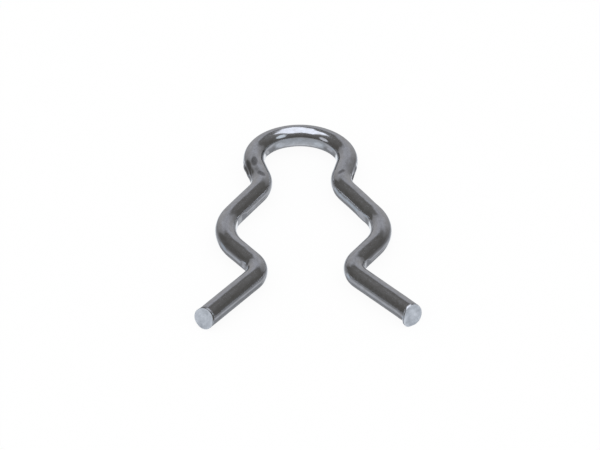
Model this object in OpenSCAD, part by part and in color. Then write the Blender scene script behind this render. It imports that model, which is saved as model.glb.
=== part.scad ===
// Hitch clip: one length of round spring wire, bent flat. A round bow closes one end.
// From it two mirrored legs run in to a narrow waist, out round a wide belly, in to a
// throat and out again to straight splayed tips. The belly snaps over a pin or its groove.
//
// The wire lies on the plane z = 0 and is symmetric about x = 0. The bow points along +Y
// and the tips along -Y. The origin is under the middle of the clip's outline.

/* [Wire] */
// Diameter of the spring wire
wire_d = 3.2; // [2:0.1:4.5]

/* [Bow] */
// Radius of the mandrel that the bow is bent round, which is the bow's inside radius
bow_pin_r = 5.3; // [4.5:0.1:8]
// Depth of the flat band that the mandrel leaves on the inside of the bow
bow_press = 0.07; // [0.02:0.01:0.2]

/* [Waist] */
// Clear gap between the legs at the waist
waist_gap = 8.6; // [6:0.1:10]
// Radius of the pin that each side of the waist is bent round
waist_pin_r = 4; // [2:0.1:6]
// Length of the straight wire between the bow and the waist
neck_run = 2.65; // [0.5:0.05:6]

/* [Belly] */
// Clear width between the legs at the belly
belly_width = 19.4; // [15:0.1:25]
// Radius of the pin that each side of the belly is bent round
belly_pin_r = 6.8; // [3:0.1:9]
// Length of the straight wire between the waist and the belly
upper_run = 6.55; // [3:0.05:14]

/* [Throat] */
// Clear gap between the legs at the throat
throat_gap = 11.1; // [6:0.1:14]
// Radius of the pin that each side of the throat is bent round
throat_pin_r = 2.55; // [1.6:0.05:5]
// Length of the straight wire between the belly and the throat
lower_run = 4.15; // [2:0.05:9]

/* [Tips] */
// Length of the straight tip, from the end of the throat's bend to the sheared face
tip_length = 12.3; // [6:0.1:30]
// Angle that each tip turns out from the clip's long direction, in degrees
tip_splay = 37; // [10:1:60]
// Radius of the edge that the shear rolls over round each sheared face
shear_round = 0.16; // [0.1:0.02:0.6]

/* [Forming marks] */
// Depth of the flat band that a forming pin leaves on the inside of each leg's bends
leg_press = 0.1; // [0.02:0.01:0.3]

/* [Hidden] */
$fn = 64;

wire_r = wire_d / 2;

// Bending thins the wire a little, and each straight run reaches a little into the bends
// beside it, so that the pieces overlap cleanly instead of only touching
bend_thinning = 0.02;
bent_wire_r = wire_r - bend_thinning;
run_seat = 0.05;

// Radius of the wire's centre line round each pin
bow_r = bow_pin_r + bent_wire_r - bow_press;
waist_r = waist_pin_r + bent_wire_r - leg_press;
belly_r = belly_pin_r + bent_wire_r - leg_press;
throat_r = throat_pin_r + bent_wire_r - leg_press;

// How far each pin of the right leg stands from the clip's centre line. The belly's pin
// stands inside the leg, the others outside it.
waist_x = waist_gap / 2 + bent_wire_r + waist_r;
belly_x = belly_width / 2 + bent_wire_r - belly_r;
throat_x = throat_gap / 2 + bent_wire_r + throat_r;

// Distance down the clip between two pins that are reach apart across it, when the wire
// that crosses between them has radii adding to radii and a straight run of length run
function drop(reach, radii, run) = sqrt(radii * radii + run * run - reach * reach);

// Centres of the pins of the right leg, from the bow's centre downwards
waist_y = -drop(waist_x, bow_r + waist_r, neck_run);
belly_y = waist_y - drop(waist_x - belly_x, waist_r + belly_r, upper_run);
throat_y = belly_y - drop(throat_x - belly_x, belly_r + throat_r, lower_run);

// Bends of the right leg in the order that the wire meets them. Each has its pin's centre,
// its centre-line radius, its pin's radius and its turn: 1 to the left, -1 to the right.
CENTRE = 0;
RADIUS = 1;
PIN = 2;
TURN = 3;
bends = [
    [[0, 0], bow_r, bow_pin_r, -1],
    [[waist_x, waist_y], waist_r, waist_pin_r, 1],
    [[belly_x, belly_y], belly_r, belly_pin_r, -1],
    [[throat_x, throat_y], throat_r, throat_pin_r, 1]
];
last = len(bends) - 1;

// Heading, in degrees from +X, of the straight run that leaves bend i. It is the common
// tangent that crosses over between two pins, or the splayed tip after the last bend.
function run_heading(i) =
    i == last ? tip_splay - 90
    : let(step = bends[i + 1][CENTRE] - bends[i][CENTRE],
          radii = bends[i][RADIUS] + bends[i + 1][RADIUS])
      atan2(step.y, step.x) + bends[i][TURN] * asin(radii / norm(step));

// Length of the straight run that leaves bend i
run_lengths = [neck_run, upper_run, lower_run, tip_length];

// Point on the centre line of bend i where the wire's heading is h
function bend_point(i, h) =
    bends[i][CENTRE] + bends[i][TURN] * bends[i][RADIUS] * [sin(h), -cos(h)];

// Ends of the clip's outline along Y: the bow's crown, and the rolled edge of a tip
crown_y = bow_r + bent_wire_r;
tip_y = bend_point(last, run_heading(last)).y - tip_length * cos(tip_splay);
foot_y = tip_y - shear_round * (1 - cos(tip_splay)) - (wire_r - shear_round) * sin(tip_splay);
middle_y = (crown_y + foot_y) / 2;

// Wire bent to a centre-line radius r about the origin, from angle a0 to angle a1
module bent_wire(r, a0, a1) {
    rotate([0, 0, a0])
        rotate_extrude(angle = a1 - a0)
            translate([r, 0])
                circle(r = bent_wire_r);
}

// Straight wire along +X between two bends, seated in both
module straight_wire(length) {
    translate([-run_seat, 0, 0])
        rotate([0, 90, 0])
            cylinder(r = wire_r, h = length + 2 * run_seat);
}

// Straight wire along +X, seated in a bend, that ends in a flat sheared face with a rolled edge
module sheared_wire(length) {
    straight = length - shear_round;
    translate([-run_seat, 0, 0])
        rotate([0, 90, 0])
            cylinder(r = wire_r, h = straight + run_seat);
    translate([straight, 0, 0])
        rotate([0, 90, 0])
            rotate_extrude()
                intersection() {
                    union() {
                        translate([wire_r - shear_round, 0])
                            circle(r = shear_round);
                        square([wire_r - shear_round, shear_round]);
                    }
                    square([wire_r, shear_round]);
                }
}

// Bend i of the right leg, from the run that enters it to the run that leaves it
module bend(i) {
    turn = bends[i][TURN];
    enter = run_heading(i - 1) - 90 * turn;
    leave = run_heading(i) - 90 * turn;
    translate(bends[i][CENTRE])
        bent_wire(bends[i][RADIUS], min(enter, leave), max(enter, leave));
}

// Straight run that leaves bend i of the right leg
module run(i) {
    h = run_heading(i);
    translate(bend_point(i, h))
        rotate([0, 0, h])
            if (i == last)
                sheared_wire(run_lengths[i]);
            else
                straight_wire(run_lengths[i]);
}

// The bow, from one neck over the crown to the other
module bow() {
    neck = run_heading(0) + 90;
    bent_wire(bow_r, neck, 180 - neck);
}

// The right leg, from the bow's shoulder to its sheared tip
module leg() {
    for (i = [0 : last])
        run(i);
    for (i = [1 : last])
        bend(i);
}

// The pin of bend i, which presses a flat band into the wire bent round it
module forming_pin(i) {
    translate(bends[i][CENTRE])
        cylinder(r = bends[i][PIN], h = wire_d, center = true);
}

module clip() {
    color([0.63, 0.635, 0.645])
        translate([0, -middle_y, wire_r])
            difference() {
                union() {
                    bow();
                    leg();
                    mirror([1, 0, 0])
                        leg();
                }
                forming_pin(0);
                for (i = [1 : last]) {
                    forming_pin(i);
                    mirror([1, 0, 0])
                        forming_pin(i);
                }
            }
}

clip();
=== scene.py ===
"""Hitch clip of bent spring wire: a dense sweep of the same wire path as the CAD, with its forming
marks and sheared ends, on a white floor under studio light."""
import math

import bpy
import numpy as np
from mathutils import Matrix, Vector


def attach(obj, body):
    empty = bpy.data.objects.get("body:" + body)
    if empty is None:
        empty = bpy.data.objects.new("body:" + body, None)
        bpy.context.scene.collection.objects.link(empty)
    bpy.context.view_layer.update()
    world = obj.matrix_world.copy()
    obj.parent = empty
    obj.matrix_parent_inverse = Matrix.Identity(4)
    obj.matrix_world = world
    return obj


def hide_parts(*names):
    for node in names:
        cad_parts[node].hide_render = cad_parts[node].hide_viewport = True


MM = 0.001

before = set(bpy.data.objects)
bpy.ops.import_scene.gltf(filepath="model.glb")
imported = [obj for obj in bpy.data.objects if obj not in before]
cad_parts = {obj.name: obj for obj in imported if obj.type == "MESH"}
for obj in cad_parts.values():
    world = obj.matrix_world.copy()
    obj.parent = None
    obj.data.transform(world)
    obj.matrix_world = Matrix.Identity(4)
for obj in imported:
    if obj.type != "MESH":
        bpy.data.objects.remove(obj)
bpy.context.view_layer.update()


# ---------------------------------------------------------------- the wire's path, in mm
# the CAD's sizes
WIRE_R, BENT_R = 1.6, 1.58
BOW_PIN, WAIST_PIN, BELLY_PIN, THROAT_PIN = 5.3, 4.0, 6.8, 2.55
BOW_PRESS, LEG_PRESS = 0.07, 0.1
WAIST_GAP, BELLY_WIDTH, THROAT_GAP = 8.6, 19.4, 11.1
NECK_RUN, UPPER_RUN, LOWER_RUN, TIP_LENGTH = 2.65, 6.55, 4.15, 12.3
TIP_SPLAY = 37.0  # degrees
SHEAR_ROUND = 0.16

bow_r = BOW_PIN + BENT_R - BOW_PRESS
waist_r = WAIST_PIN + BENT_R - LEG_PRESS
belly_r = BELLY_PIN + BENT_R - LEG_PRESS
throat_r = THROAT_PIN + BENT_R - LEG_PRESS
waist_x = WAIST_GAP / 2 + BENT_R + waist_r
belly_x = BELLY_WIDTH / 2 + BENT_R - belly_r
throat_x = THROAT_GAP / 2 + BENT_R + throat_r


def drop(reach, radii, run):
    """Distance down the clip between two pins that are reach apart across it."""
    return math.sqrt(radii * radii + run * run - reach * reach)


waist_y = -drop(waist_x, bow_r + waist_r, NECK_RUN)
belly_y = waist_y - drop(waist_x - belly_x, waist_r + belly_r, UPPER_RUN)
throat_y = belly_y - drop(throat_x - belly_x, belly_r + throat_r, LOWER_RUN)

# pin centre, centre-line radius, pin radius, turn (1 left, -1 right) of each bend of the right
# half, bow first, and the straight run that follows it
BENDS = [
    ((0.0, 0.0), bow_r, BOW_PIN, -1, NECK_RUN),
    ((waist_x, waist_y), waist_r, WAIST_PIN, 1, UPPER_RUN),
    ((belly_x, belly_y), belly_r, BELLY_PIN, -1, LOWER_RUN),
    ((throat_x, throat_y), throat_r, THROAT_PIN, 1, TIP_LENGTH),
]


def run_heading(i):
    """Heading of the straight run after bend i, which crosses over to the next pin."""
    if i == len(BENDS) - 1:
        return math.radians(TIP_SPLAY - 90)
    (ax, ay), ra, _, turn, _ = BENDS[i]
    (bx, by), rb, _, _, _ = BENDS[i + 1]
    return math.atan2(by - ay, bx - ax) + turn * math.asin((ra + rb) / math.hypot(bx - ax, by - ay))


def segments():
    """Arcs and straights of the right half, each as distance from the crown, length, start
    point, heading and curvature (left positive), and then the half's length and its end."""
    rows, s, p, h = [], 0.0, (0.0, bow_r), 0.0
    for i, (c, r, _, turn, run) in enumerate(BENDS):
        leave = run_heading(i)
        arc = r * turn * (leave - h)
        rows.append((s, arc, p, h, turn / r))
        s, h = s + arc, leave
        p = (c[0] + turn * r * math.sin(h), c[1] - turn * r * math.cos(h))
        rows.append((s, run, p, h, 0.0))
        s += run
        p = (p[0] + run * math.cos(h), p[1] + run * math.sin(h))
    return rows, s, p


SEGMENTS, HALF, (_, tip_y) = segments()
crown_y = bow_r + BENT_R
splay = math.radians(TIP_SPLAY)
foot_y = tip_y - SHEAR_ROUND * (1 - math.cos(splay)) - (WIRE_R - SHEAR_ROUND) * math.sin(splay)
MIDDLE_Y = (crown_y + foot_y) / 2


def path(along):
    """Centre points and left-hand normals of the right half at distances along from the crown."""
    x, y, heading = np.zeros_like(along), np.zeros_like(along), np.zeros_like(along)
    for start, _, (px, py), h, curvature in SEGMENTS:
        m = along >= start - 1e-9
        t = along[m] - start
        heading[m] = h + curvature * t
        if curvature:
            x[m] = px + (np.sin(heading[m]) - math.sin(h)) / curvature
            y[m] = py - (np.cos(heading[m]) - math.cos(h)) / curvature
        else:
            x[m] = px + t * math.cos(h)
            y[m] = py + t * math.sin(h)
    return x, y, -np.sin(heading), np.cos(heading)


# ---------------------------------------------------------------- small helpers for the surface
def smooth(t):
    """0 below 0, 1 above 1, and smooth between."""
    t = np.clip(t, 0, 1)
    return t * t * (3 - 2 * t)


def waves(rng, u, v, w, scale, count=14):
    """Smooth unit noise over points u, v, w (mm), of about the given wavelength."""
    out = np.zeros_like(u)
    for _ in range(count):
        d = rng.normal(size=3)
        d *= 2 * math.pi / (scale * rng.uniform(0.7, 1.5) * np.linalg.norm(d))
        out += np.sin(d[0] * u + d[1] * v + d[2] * w + rng.uniform(0, 2 * math.pi))
    return out / math.sqrt(count / 2)


def wrap(a):
    """The same angle between -pi and pi."""
    return (a + math.pi) % (2 * math.pi) - math.pi


# ---------------------------------------------------------------- rings of points along the wire
RINGS, AROUND = 1096, 80
PHI = np.arange(AROUND) * 2 * math.pi / AROUND  # 0 on the outside of the legs, pi/2 on top

# Each tip is sheared a little out of square, its lower edge further out than its upper edge.
# For the left and the right tip: lean of the face, how far its middle is short of HALF, and the
# radius of its rolled edge where that is largest, the place round the wire, and how far it turns
FACE_LEAN = (math.radians(14), math.radians(10))
FACE_SHORT = (0.24, 0.22)
ROLL_MOST = (0.34, 0.52)
ROLL_AT = (math.radians(135), math.radians(100))
ROLL_TURN = (math.radians(75), math.radians(40))
ROLL_LEAST = 0.08
LEAN_FROM = 1.5  # the rings turn into the lean over this length of wire

ROLL = (0, 0.15, 0.3, 0.45, 0.6, 0.73, 0.87, 1)  # rings of the rolled edge, by share of its turn
FACE = (0.98, 0.92, 0.82, 0.72, 0.6, 0.48, 0.36, 0.24, 0.12)  # rings of the face, by radius
PLATED = len(ROLL) - 3  # the innermost rings of the rolled edge are as rough as the face
CAP = len(ROLL) + len(FACE)
ROWS = RINGS + 2 * CAP
END = HALF - max(FACE_SHORT) - 0.02  # where the first and last rings are before they lean


def shear_tip(S, R, end):
    """Leans the rings near the left (0) or right (1) tip and sets its rolled edge and face."""
    sign = 1 if end else -1
    roll = ROLL_LEAST + (ROLL_MOST[end] - ROLL_LEAST) * smooth(np.cos(PHI - ROLL_AT[end]) + 0.05)
    body = HALF - FACE_SHORT[end] - roll * math.sin(ROLL_TURN[end])
    slope = math.tan(FACE_LEAN[end])
    # the straight rings lean more and more towards the end, and stop where the roll begins
    rows = np.nonzero(sign * S[:, 0] > END - LEAN_FROM)[0]
    w = smooth((np.abs(S[rows]) - (END - LEAN_FROM)) / LEAN_FROM)
    shift = body + WIRE_R * slope * -np.sin(PHI) - END
    S[rows] += sign * w * shift[None, :]
    for i in range(CAP):
        row = CAP + RINGS + i if end else CAP - 1 - i
        turned = ROLL_TURN[end] * ROLL[min(i, len(ROLL) - 1)]
        R[row] = WIRE_R - roll + roll * math.cos(turned)
        if i >= len(ROLL):
            R[row] *= FACE[i - len(ROLL)]
        S[row] = sign * (body + roll * math.sin(turned) + R[row] * slope * -np.sin(PHI))


def rings():
    """Distance from the crown (left negative), angle round the wire and radius of each point."""
    F = np.repeat(PHI[None, :], ROWS, 0)
    S, R = np.zeros((ROWS, AROUND)), np.full((ROWS, AROUND), WIRE_R)
    S[CAP:CAP + RINGS] = np.linspace(-END, END, RINGS)[:, None]
    shear_tip(S, R, 0)
    shear_tip(S, R, 1)
    return S, F, R


S, F, R = rings()
on_side, on_face = np.zeros((ROWS, 1), bool), np.ones((ROWS, 1), bool)
on_side[CAP:CAP + RINGS] = True
on_face[CAP - PLATED:CAP + RINGS + PLATED] = False

# slight waviness of drawn wire, always inwards: the height and wavelength of each set of waves,
# and how much they are drawn out along the wire and squeezed round it
WAVES = [(0.0035, 2.2, 0.45, 1.0), (0.0025, 0.9, 0.35, 1.5)]
WAVE_DEPTH = 0.004  # mean depth
rng = np.random.default_rng(7)
V, W = WIRE_R * np.cos(F), WIRE_R * np.sin(F)
wave = sum(height * waves(rng, S * along, V * round_it, W * round_it, length)
           for height, length, along, round_it in WAVES)
R = np.minimum(R - np.where(on_side, WAVE_DEPTH + wave, 0.0), R)


# ---------------------------------------------------------------- the bent surface and its marks
def position(S, F, R):
    """Points in mm, from the bow's centre, of the surface swept round the path."""
    x, y, nx, ny = (v.reshape(S.shape) for v in path(np.abs(S).ravel()))
    across, z = np.cos(F) * R, np.sin(F) * R
    px, py = x + nx * across, y + ny * across
    return np.where(S < 0, -px, px), py, z


BOW_CROWN = 0.13  # fall of the bow's band towards its edges, in mm per square mm of height
BAND_DEEPEST = 1.0  # points further inside a pin than this are on other wire


def press(X, Y, Z):
    """Flat bands pressed by the forming pins. The one inside the bow is slightly crowned."""
    for i, ((cx, cy), _, pin, _, _) in enumerate(BENDS):
        for side in ((1,) if i == 0 else (1, -1)):
            dx, dy = X - side * cx, Y - cy
            d = np.hypot(dx, dy)
            reach = pin + (BOW_CROWN * Z * Z if i == 0 else 0.0)
            near = (d < reach) & (d > pin - BAND_DEEPEST)
            f = np.where(near, reach / np.maximum(d, 1e-6), 1.0)
            X, Y = side * cx + dx * f, cy + dy * f
    return X, Y


# how far each leg, as bent, strays outwards from the drawing, by distance from the crown
STRAY_LEFT = [(2, 0), (4, 0.07), (8, 0.04), (10, -0.03), (14, -0.05), (17, -0.07), (20, 0),
              (23, 0.06), (28, 0.11), (32, 0.06), (40, 0), (46, -0.04), (51, -0.09), (56, -0.15)]
STRAY_RIGHT = [(6, 0), (10, 0.10), (14, 0.06), (18, 0.06), (22, 0), (25.5, -0.18), (28.5, -0.04),
               (32, 0.04), (38, 0), (44, -0.04), (48, 0), (53, 0.06), (56, 0.04)]


def stray(S):
    """Outward offset, smoothed over a few millimetres of wire."""
    line = np.linspace(-60, 60, 2401)  # a point each 0.05 mm, as in the bell
    bell = np.exp(-np.linspace(-3, 3, 121) ** 2)
    left, right = np.interp(-line, *zip(*STRAY_LEFT)), np.interp(line, *zip(*STRAY_RIGHT))
    offset = np.convolve(np.where(line < 0, left, right), bell / bell.sum(), "same")
    return np.interp(S, line, offset)


# marks of the forming tools: side (-1 left, 1 right), distance from the crown, angle round the
# wire, turn of the mark's long direction towards the top, half sizes along and across, height,
# and how much painted shade darkens and dulls the bright plate there
MARKS = [
    (-1, 12.7, 80, -13, 1.15, 0.46, -0.020, 0.80),  # oval dent over the left neck, with painted shade in it
    (-1, 16.1, 89, 42, 0.80, 0.42, -0.020, 0.80),  # slanted dent over the left waist, with painted shade in it
    (1, 16.0, 91, 44, 0.70, 0.32, -0.015, 0.75),  # narrow slanted dent over the right waist, with painted shade in it
    (-1, 13.0, 40, -4, 1.35, 0.25, -0.040, 0.60),  # long scrape down the outside of the left neck, with painted shade along it
    (-1, 15.3, 26, -13, 1.35, 0.19, -0.050, 0.65),
    (-1, 16.7, 31, -5, 0.45, 0.14, -0.045, 0.0),
    (-1, 12.9, 6, 0, 1.25, 0.27, 0.150, 0.1),  # ridge squeezed out beside that scrape, with painted shade on and beside it
    (-1, 12.2, 4, 0, 0.60, 0.22, 0.060, 0.0),
    (-1, 14.9, 358, -5, 1.20, 0.34, 0.140, 0.60),
    (-1, 16.0, 21, 0, 1.00, 0.22, 0.0, 0.85),
    (-1, 11.95, 12, 0, 0.17, 0.14, -0.090, 0.0),  # chips in the ridge
    (-1, 11.25, 16, 20, 0.22, 0.15, -0.050, 0.0),
    (1, 11.9, 8, 0, 0.30, 0.30, -0.050, 0.0),  # ridge beside the right neck, with a notch, and painted shade on it
    (1, 13.0, 2, 0, 0.90, 0.28, 0.120, 0.1),
    (1, 14.9, 356, -8, 0.95, 0.22, 0.190, 0.9),
    (1, 15.8, 27, -10, 0.65, 0.17, -0.065, 0.0),  # valley between that ridge and the waist
    (-1, 40.75, 14, 0, 0.70, 0.70, 0.0, 0.95),  # painted shade on the throats' outsides
    (1, 41.1, 22, 0, 0.75, 0.50, 0.0, 0.9),
    (-1, 33.5, 16, 0, 6.5, 0.26, 0.0, 0.35),  # painted shade in dull streaks along the outsides below the bellies
    (1, 33.5, 18, 0, 6.5, 0.26, 0.0, 0.35),
    (-1, 56.1, 0, 0, 0.55, 1.20, 0.170, 0.0),  # burrs that the shear left at the two tips
    (1, 56.1, 215, 0, 0.60, 0.95, 0.360, 0.0),
    (-1, 55.62, 112, -14, 0.30, 1.05, 0.0, 0.80),  # painted shade dimming the glint on the left tip's rolled edge
]


def marks(S, F):
    """How far the marks raise each point, in mm, and how much painted shade darkens and dulls its
    plate.
    """
    bump, painted_shade = np.zeros_like(S), np.zeros_like(S)
    for side, middle, around, tilt, along, across, height, shade_share in MARKS:
        u, v = S * side - middle, WIRE_R * wrap(F - math.radians(around))
        ct, st = math.cos(math.radians(tilt)), math.sin(math.radians(tilt))
        q = ((u * ct + v * st) / along) ** 2 + ((v * ct - u * st) / across) ** 2
        bump += height * np.exp(-q ** 1.5)
        # painted shade, even in the mark's middle, and none a little outside it
        painted_shade = np.maximum(painted_shade, shade_share * (1 - smooth((q - 0.5) / 0.9)))
    return bump, painted_shade


FOOT_GAP, CROWN_GAP = 0.006, 0.002  # mm kept free at the two ends of the CAD's box


def surface(S, F, R, bump):
    """The finished surface's points, in mm, kept just inside the CAD's ends and thickness."""
    X, Y, Z = position(S, F, R)
    X, Y = press(X, Y, Z)
    nx, ny = (v.reshape(S.shape) for v in path(np.abs(S).ravel())[2:])
    out = bump * np.cos(F) + stray(S)
    X, Y, Z = X + out * np.sign(S) * nx, Y + out * ny, Z + bump * np.sin(F)
    return X, np.clip(Y, foot_y + FOOT_GAP, crown_y - CROWN_GAP), np.clip(Z, -WIRE_R, WIRE_R)


def mesh_faces():
    """Faces between the rings and over the middle of each tip, and which are of sheared metal."""
    faces, ends = [], []
    first, last = ROWS * AROUND, ROWS * AROUND + 1  # the middle points of the two tips
    for i in range(ROWS - 1):
        here, there = i * AROUND, (i + 1) * AROUND
        for j in range(AROUND):
            k = (j + 1) % AROUND
            faces.append((here + j, there + j, there + k, here + k))
            ends.append(bool(on_face[i, 0] and on_face[i + 1, 0]))
    for j in range(AROUND):
        k = (j + 1) % AROUND
        faces += [(first, j, k), (last, (ROWS - 1) * AROUND + k, (ROWS - 1) * AROUND + j)]
        ends += [True, True]
    return faces, ends


def add_attribute(mesh, name, kind, field, values):
    """A named value or vector at each point of the mesh, for its materials."""
    att = mesh.attributes.new(name, kind, "POINT")
    att.data.foreach_set(field, values.astype(np.float32).ravel())


def build_wire():
    """The whole clip as one closed mesh, in metres, where the CAD's node is."""
    bump, painted_shade = marks(S, F)
    X, Y, Z = surface(S, F, R, bump)
    points = np.stack([X, Y - MIDDLE_Y, Z + WIRE_R], -1) * MM
    middles = np.stack([points[0].mean(0), points[-1].mean(0)])
    faces, ends = mesh_faces()
    mesh = bpy.data.meshes.new("clip_wire")
    mesh.from_pydata(np.concatenate([points.reshape(-1, 3), middles]).tolist(), [], faces)
    mesh.update()
    mesh.polygons.foreach_set("use_smooth", [True] * len(mesh.polygons))
    mesh.polygons.foreach_set("material_index", [int(e) for e in ends])
    # coordinates of the straightened wire, for the grain that runs along it
    straight = np.stack([S, R * np.cos(F), R * np.sin(F)], -1).reshape(-1, 3)
    straight = np.concatenate([straight, [[-HALF, 0, 0], [HALF, 0, 0]]])
    add_attribute(mesh, "wire", "FLOAT_VECTOR", "vector", straight)
    # how much painted shade darkens each point
    add_attribute(mesh, "painted_shade", "FLOAT", "value", np.append(painted_shade.ravel(), [0, 0]))
    wire = bpy.data.objects.new("clip_wire", mesh)
    bpy.context.scene.collection.objects.link(wire)
    return wire


wire = build_wire()
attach(wire, "root")
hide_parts("clip")


# ---------------------------------------------------------------- materials
class Nodes:
    """Short names for building a material's or the world's nodes."""

    def __init__(self, owner):
        owner.use_nodes = True
        self.n, self.links = owner.node_tree.nodes, owner.node_tree.links
        self.n.clear()

    def new(self, kind, **sockets):
        """A node and the values of its inputs, named with _ for each space."""
        node = self.n.new(kind)
        for name, v in sockets.items():
            self.put(v, node.inputs[name.replace("_", " ")])
        return node

    def put(self, v, socket):
        """Links an output to the input, or sets a number, vector or colour on it."""
        if isinstance(v, bpy.types.NodeSocket):
            self.links.new(v, socket)
        elif isinstance(v, tuple) and socket.type == "RGBA":
            socket.default_value = (*v, 1)
        else:
            socket.default_value = v

    def math(self, op, a, b=0.0):
        m = self.n.new("ShaderNodeMath")
        m.operation = op
        self.put(a, m.inputs[0])
        self.put(b, m.inputs[1])
        return m.outputs[0]

    def step(self, v, lo, hi):
        """0 at lo, 1 at hi, smooth between (lo may be above hi)."""
        m = self.n.new("ShaderNodeMapRange")
        m.interpolation_type = "SMOOTHSTEP"
        self.put(v, m.inputs["Value"])
        rising = lo < hi
        m.inputs["From Min"].default_value = lo if rising else hi
        m.inputs["From Max"].default_value = hi if rising else lo
        m.inputs["To Min"].default_value = 0 if rising else 1
        m.inputs["To Max"].default_value = 1 if rising else 0
        return m.outputs["Result"]

    def span(self, v, lo, hi):
        """Straight line from lo where v is 0 to hi where it is 1."""
        m = self.n.new("ShaderNodeMapRange")
        self.put(v, m.inputs["Value"])
        m.inputs["To Min"].default_value, m.inputs["To Max"].default_value = lo, hi
        return m.outputs["Result"]

    def mix(self, f, a, b):
        """Colour a where f is 0, and b where it is 1."""
        m = self.n.new("ShaderNodeMix")
        m.data_type = "RGBA"
        for v, k in ((f, "Factor"), (a, "A"), (b, "B")):
            self.put(v, m.inputs[k])
        return m.outputs["Result"]

    def ramp(self, v, stops):
        """Colours at the given places of v, which run from 0 to 1."""
        r = self.n.new("ShaderNodeValToRGB")
        e = r.color_ramp.elements
        while len(e) < len(stops):
            e.new(0.5)
        for element, (place, colour) in zip(e, stops):
            element.position = place
            element.color = (*colour, 1)
        self.put(v, r.inputs[0])
        return r.outputs[0]

    def noise(self, vector, scale, detail, rough=0.5):
        t = self.new("ShaderNodeTexNoise", Vector=vector, Scale=scale, Detail=detail, Roughness=rough)
        return t.outputs[0]

    def finish(self, kind, shader):
        out = self.n.new(kind)
        self.links.new(shader, out.inputs[0])


GRAIN_ALONG = 0.55  # scales the coordinate along the wire, so the plate's grain is longer that way
PLATE = [(0.3, (0.54, 0.532, 0.522)), (0.7, (0.73, 0.74, 0.765))]  # over its mottling
PLATE_ROUGH = (0.085, 0.15)  # of the bright plate, and of the tiny matt specks in it
# colour and roughness of the painted shade at the marks
PAINTED_SHADE_COLOUR, PAINTED_SHADE_ROUGH = (0.24, 0.235, 0.235), 0.3
SHEARED = [(0.3, (0.40, 0.435, 0.485)), (0.7, (0.66, 0.705, 0.775))]
SHEARED_ROUGH = (0.45, 0.65)


def wire_coordinates(b, along):
    """Coordinates of the straightened wire, in mm, with those along it scaled by along."""
    at = b.n.new("ShaderNodeAttribute")
    at.attribute_name = "wire"
    grain = b.new("ShaderNodeMapping", Vector=at.outputs["Vector"], Scale=(along, 1, 1))
    return grain.outputs[0]


def zinc():
    """Bright zinc plate, faintly mottled, with painted shade that darkens and dulls it at the marks.
    """
    m = bpy.data.materials.new("zinc_plate")
    b = Nodes(m)
    grain = wire_coordinates(b, GRAIN_ALONG)
    mottle = b.noise(grain, scale=2.2, detail=5, rough=0.72)
    colour = b.ramp(mottle, PLATE)
    speck = b.noise(grain, scale=3.0, detail=3, rough=0.6)
    rough = b.span(b.step(speck, 0.35, 0.7), *PLATE_ROUGH)
    painted_shade = b.n.new("ShaderNodeAttribute")
    painted_shade.attribute_name = "painted_shade"
    # painted shade: the marks' dark colour, and their roughness
    colour = b.mix(painted_shade.outputs["Fac"], colour, PAINTED_SHADE_COLOUR)
    rough = b.math("MAXIMUM", rough, b.math("MULTIPLY", painted_shade.outputs["Fac"], PAINTED_SHADE_ROUGH))
    ripple = b.noise(grain, scale=1.3, detail=1)
    bump = b.new("ShaderNodeBump", Height=ripple, Strength=0.35, Distance=0.00003)
    bsdf = b.new("ShaderNodeBsdfPrincipled", Metallic=1.0, Base_Color=colour,
                 Roughness=rough, Normal=bump.outputs[0])
    b.finish("ShaderNodeOutputMaterial", bsdf.outputs[0])
    return m


def sheared():
    """The paler, coarser metal of the sheared faces."""
    m = bpy.data.materials.new("sheared_zinc")
    b = Nodes(m)
    grain = wire_coordinates(b, 1)
    coarse = b.noise(grain, scale=1.1, detail=4, rough=0.6)
    fine = b.noise(grain, scale=5, detail=5)
    colour = b.ramp(coarse, SHEARED)
    bump = b.new("ShaderNodeBump", Height=fine, Strength=0.6, Distance=0.00004)
    bsdf = b.new("ShaderNodeBsdfPrincipled", Metallic=0.25, Base_Color=colour,
                 Roughness=b.span(fine, *SHEARED_ROUGH), Normal=bump.outputs[0])
    b.finish("ShaderNodeOutputMaterial", bsdf.outputs[0])
    return m


wire.data.materials.append(zinc())
wire.data.materials.append(sheared())


# ---------------------------------------------------------------- floor
FLOOR_HALF = 8.0  # m
FLOOR_GLOW = 0.93  # share of plain white that the camera sees in the floor; the rest is lit


def floor_material():
    """Almost plain white to the camera, and lit for the rest, which keeps the clip's shadow."""
    m = bpy.data.materials.new("floor")
    b = Nodes(m)
    lit = b.new("ShaderNodeBsdfDiffuse", Color=(0.98, 0.98, 0.98))
    white = b.new("ShaderNodeEmission", Strength=1.0)
    rays = b.n.new("ShaderNodeLightPath")
    share = b.math("MULTIPLY", rays.outputs["Is Camera Ray"], FLOOR_GLOW)
    mix = b.n.new("ShaderNodeMixShader")
    for value, socket in zip((share, lit.outputs[0], white.outputs[0]), mix.inputs):
        b.links.new(value, socket)
    b.finish("ShaderNodeOutputMaterial", mix.outputs[0])
    return m


def build_floor():
    mesh = bpy.data.meshes.new("floor")
    e = FLOOR_HALF
    mesh.from_pydata([(-e, -e, 0), (e, -e, 0), (e, e, 0), (-e, e, 0)], [], [(0, 1, 2, 3)])
    floor = bpy.data.objects.new("floor", mesh)
    bpy.context.scene.collection.objects.link(floor)
    floor.data.materials.append(floor_material())
    # the metal mirrors the world's own pale floor, which is brighter in places than this one
    floor.visible_glossy = False
    return floor


build_floor()


# ---------------------------------------------------------------- the studio, as the world
LOBE_EDGE = (1.4, 0.5)  # squared distance, in half sizes, where an oval starts and where it is full


def lobe(b, azimuth, elevation, az, el, wide, high):
    """1 inside an oval round a direction given in degrees, and 0 outside it."""
    da = b.math("DIVIDE", b.math("SUBTRACT", azimuth, math.radians(az)), math.radians(wide))
    de = b.math("DIVIDE", b.math("SUBTRACT", elevation, math.radians(el)), math.radians(high))
    q = b.math("ADD", b.math("MULTIPLY", da, da), b.math("MULTIPLY", de, de))
    return b.step(q, *LOBE_EDGE)


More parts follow.
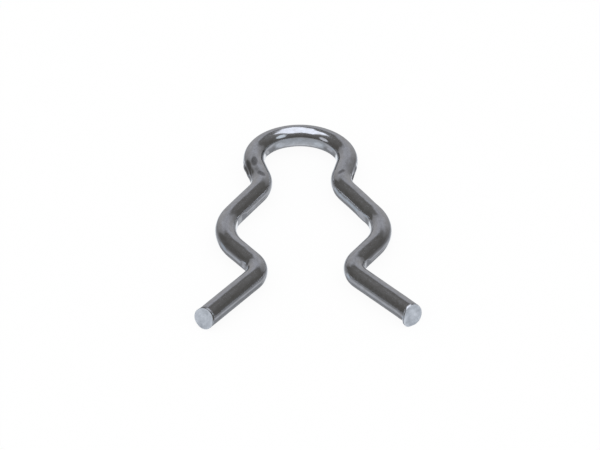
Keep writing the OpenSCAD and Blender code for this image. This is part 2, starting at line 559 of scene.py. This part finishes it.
def elevations(b, elevation, lowest, highest, stops):
    """Colours at elevations in degrees, from lowest to highest."""
    m = b.n.new("ShaderNodeMapRange")
    b.put(elevation, m.inputs["Value"])
    m.inputs["From Min"].default_value = math.radians(lowest)
    m.inputs["From Max"].default_value = math.radians(highest)
    return b.ramp(m.outputs["Result"], [((e - lowest) / (highest - lowest), c) for e, c in stops])


# the softbox's edges on a plane 1 above the clip: where its light starts and where it is full
BOX_LEFT, BOX_RIGHT, BOX_NEAR, BOX_FAR = (-0.61, -0.50), (0.47, 0.40), (-0.54, -0.44), (0.47, 0.39)
SOFTBOX = (1.24, 1.30, 1.445)
# a tongue of its light runs on over the far edge: its middle line, how far it runs on while each
# side narrows by 1, where it starts and where it ends in a point
TONGUE_MIDDLE, TONGUE_TAPER, TONGUE_NEAR, TONGUE_POINT = 0.06, 2.6, (0.3, 0.4), (1.12, 0.95)
# colours of the walls, the backdrop and the floor at elevations in degrees
WALLS = [(0, (0.117, 0.115, 0.112)), (25, (0.115, 0.113, 0.109)), (45, (0.158, 0.156, 0.155)),
         (60, (0.22, 0.22, 0.225))]
BACKDROP = [(0, (0.42, 0.42, 0.435)), (12, (0.41, 0.41, 0.425)), (38, (0.405, 0.415, 0.455))]
BACKDROP_ASIDE = (0.185, 0.185, 0.19)  # far to the sides
BACKDROP_FADE = (math.radians(62), math.radians(16))  # from its sides' colour to its middle's
# the backdrop's top is an arc that falls with the azimuth squared, and its sides end sharply on
# the left and softly on the right
ARC_TOP, ARC_FALL, ARC_SOFT = 0.672, 0.25, 0.07  # radians
BACKDROP_LEFT = (math.radians(-48), math.radians(-42))
BACKDROP_RIGHT = (math.radians(66), math.radians(52))
FLOOR_BEHIND = [
    (-90, (0.50, 0.52, 0.56)), (-50, (0.30, 0.31, 0.33)), (-38, (0.27, 0.28, 0.30)),
    (-31, (0.34, 0.35, 0.375)), (-26, (0.55, 0.57, 0.61)), (-19, (0.45, 0.465, 0.50)),
    (-11, (0.26, 0.265, 0.28)), (-5, (0.20, 0.20, 0.21)), (0, (0.15, 0.15, 0.15))]
FLOOR_IN_FRONT = [
    (-90, (0.76, 0.79, 0.84)), (-60, (0.63, 0.66, 0.71)), (-30, (0.44, 0.475, 0.52)),
    (-14, (0.40, 0.42, 0.45)), (-4, (0.30, 0.30, 0.305)), (0, (0.22, 0.22, 0.22))]
FRONT_FROM = (0.05, -0.15)  # y of the direction where the floor in front starts and is full
# where the floor behind runs on into the backdrop, in radians off the back and up, and its colour
MEETS_ASIDE, MEETS_UP, MEETS = (0.85, 0.4), (-0.30, -0.05), (0.40, 0.40, 0.41)
# light patches, each an azimuth, elevation, half width and half height in degrees, and a colour
WALL_PATCHES = [(-103, 29, 14, 13, (0.72, 0.75, 0.82)), (121, 42, 17, 13, (0.80, 0.88, 0.97))]
FLOOR_PATCHES = [
    (22, -33, 16, 9, (0.98, 1.01, 1.05)), (-15, -31, 19, 9, (0.95, 1.0, 1.05)),
    (-70, -34, 14, 4.5, (0.50, 0.52, 0.57)), (-66, -19, 9, 11, (0.49, 0.56, 0.64)),
    (117, -36, 19, 9, (0.60, 0.64, 0.70)), (-117, -36, 14, 9, (0.62, 0.67, 0.73)),
    (52, -35, 9, 7, (0.52, 0.535, 0.56))]


def patched(b, c, azimuth, elevation, patches):
    """Colour c with light patches on it."""
    for *place, colour in patches:
        c = b.mix(lobe(b, azimuth, elevation, *place), c, colour)
    return c


def softbox(b, x, y, z):
    """The overhead softbox, a rectangle on a plane above, and its tongue towards the back."""
    up = b.math("MAXIMUM", z, 0.02)
    gx, gy = b.math("DIVIDE", x, up), b.math("DIVIDE", y, up)
    box = b.math("MULTIPLY", b.math("MULTIPLY", b.step(gx, *BOX_LEFT), b.step(gx, *BOX_RIGHT)),
                 b.math("MULTIPLY", b.step(gy, *BOX_NEAR), b.step(gy, *BOX_FAR)))
    aside = b.math("ABSOLUTE", b.math("SUBTRACT", gx, TONGUE_MIDDLE))
    point = b.math("ADD", b.math("MULTIPLY", aside, TONGUE_TAPER), gy)
    tongue = b.math("MULTIPLY", b.step(point, *TONGUE_POINT), b.step(gy, *TONGUE_NEAR))
    return b.math("MAXIMUM", box, tongue)


def room(b, azimuth, elevation, away):
    """Dark walls, warmest and darkest low down, and a grey backdrop that ends in an arc."""
    squared = b.math("MULTIPLY", azimuth, azimuth)
    arc = b.math("SUBTRACT", ARC_TOP, b.math("MULTIPLY", squared, ARC_FALL))
    backdrop = b.mix(b.step(away, *BACKDROP_FADE), BACKDROP_ASIDE,
                     elevations(b, elevation, 0, 90, BACKDROP))
    wide = b.math("MULTIPLY", b.step(azimuth, *BACKDROP_LEFT), b.step(azimuth, *BACKDROP_RIGHT))
    under = b.step(b.math("SUBTRACT", arc, elevation), -ARC_SOFT, ARC_SOFT)
    rear = b.math("MULTIPLY", under, wide)
    c = b.mix(rear, elevations(b, elevation, 0, 90, WALLS), backdrop)
    return patched(b, c, azimuth, elevation, WALL_PATCHES)


def pale_floor(b, azimuth, elevation, away, y):
    """A bright line and bright corners behind, and all of it bright in front."""
    c = b.mix(b.step(y, *FRONT_FROM), elevations(b, elevation, -90, 0, FLOOR_BEHIND),
              elevations(b, elevation, -90, 0, FLOOR_IN_FRONT))
    c = patched(b, c, azimuth, elevation, FLOOR_PATCHES)
    meets = b.math("MULTIPLY", b.step(away, *MEETS_ASIDE), b.step(elevation, *MEETS_UP))
    return b.mix(meets, c, MEETS)


def studio():
    """The world, which is the softbox and the room above the horizon and the floor below it."""
    world = bpy.data.worlds.new("studio")
    bpy.context.scene.world = world
    b = Nodes(world)
    tex = b.n.new("ShaderNodeTexCoord")
    x, y, z = b.new("ShaderNodeSeparateXYZ", Vector=tex.outputs["Generated"]).outputs
    azimuth = b.math("ARCTAN2", x, y)  # 0 is +Y, pi/2 is +X
    elevation = b.math("ARCSINE", z)
    away = b.math("ABSOLUTE", azimuth)
    c = b.mix(softbox(b, x, y, z), room(b, azimuth, elevation, away), SOFTBOX)
    c = b.mix(b.step(z, 0.01, -0.02), c, pale_floor(b, azimuth, elevation, away, y))
    # only the metal's reflections see the studio; all else sees plain white
    rays = b.n.new("ShaderNodeLightPath")
    shine = b.math("MAXIMUM", rays.outputs["Is Glossy Ray"], rays.outputs["Is Transmission Ray"])
    back = b.new("ShaderNodeBackground", Color=b.mix(shine, (1.0, 1.0, 1.0), c))
    b.finish("ShaderNodeOutputWorld", back.outputs[0])
    world.cycles.sampling_method = "NONE"


studio()


# ---------------------------------------------------------------- camera
FRAME_W, FRAME_H = 600, 450
PX_PER_MM = 6.80082
BOW_AT = (300.0596, 161.3113)  # where the bow's centre lands in the frame, in pixels
ELEVATION, YAW, TURN = math.radians(34.22093), math.radians(1.68589), math.radians(0.03182)
DISTANCE = 2500  # mm, with a long lens, so the view is almost parallel
SENSOR = 36  # mm


def camera_axes():
    """The camera's right, up and forward directions."""
    flat = Vector((math.cos(YAW), -math.sin(YAW), 0))
    ahead = Vector((math.sin(YAW), math.cos(YAW), 0))
    rise = ahead * math.sin(ELEVATION) + Vector((0, 0, math.cos(ELEVATION)))
    look = ahead * math.cos(ELEVATION) - Vector((0, 0, math.sin(ELEVATION)))
    right = flat * math.cos(TURN) + rise * math.sin(TURN)
    return right, rise * math.cos(TURN) - flat * math.sin(TURN), look


def place_camera():
    """Stands the camera where the bow's centre lands at its place in the frame."""
    right, up, look = camera_axes()
    bow_centre = Vector((0, -MIDDLE_Y, WIRE_R))
    across, down = (BOW_AT[0] - FRAME_W / 2) / PX_PER_MM, (BOW_AT[1] - FRAME_H / 2) / PX_PER_MM
    where = bow_centre - right * across + up * down - look * DISTANCE
    cam = bpy.data.cameras.new("camera")
    cam.sensor_fit = "HORIZONTAL"
    cam.sensor_width = SENSOR
    cam.lens = PX_PER_MM * DISTANCE * SENSOR / FRAME_W
    cam.clip_start, cam.clip_end = 0.1, 60  # m
    camera = bpy.data.objects.new("camera", cam)
    bpy.context.scene.collection.objects.link(camera)
    m = Matrix((right, up, -look)).transposed().to_4x4()
    m.translation = where * MM
    camera.matrix_world = m
    bpy.context.scene.camera = camera


place_camera()
bpy.context.scene.view_settings.view_transform = "Standard"
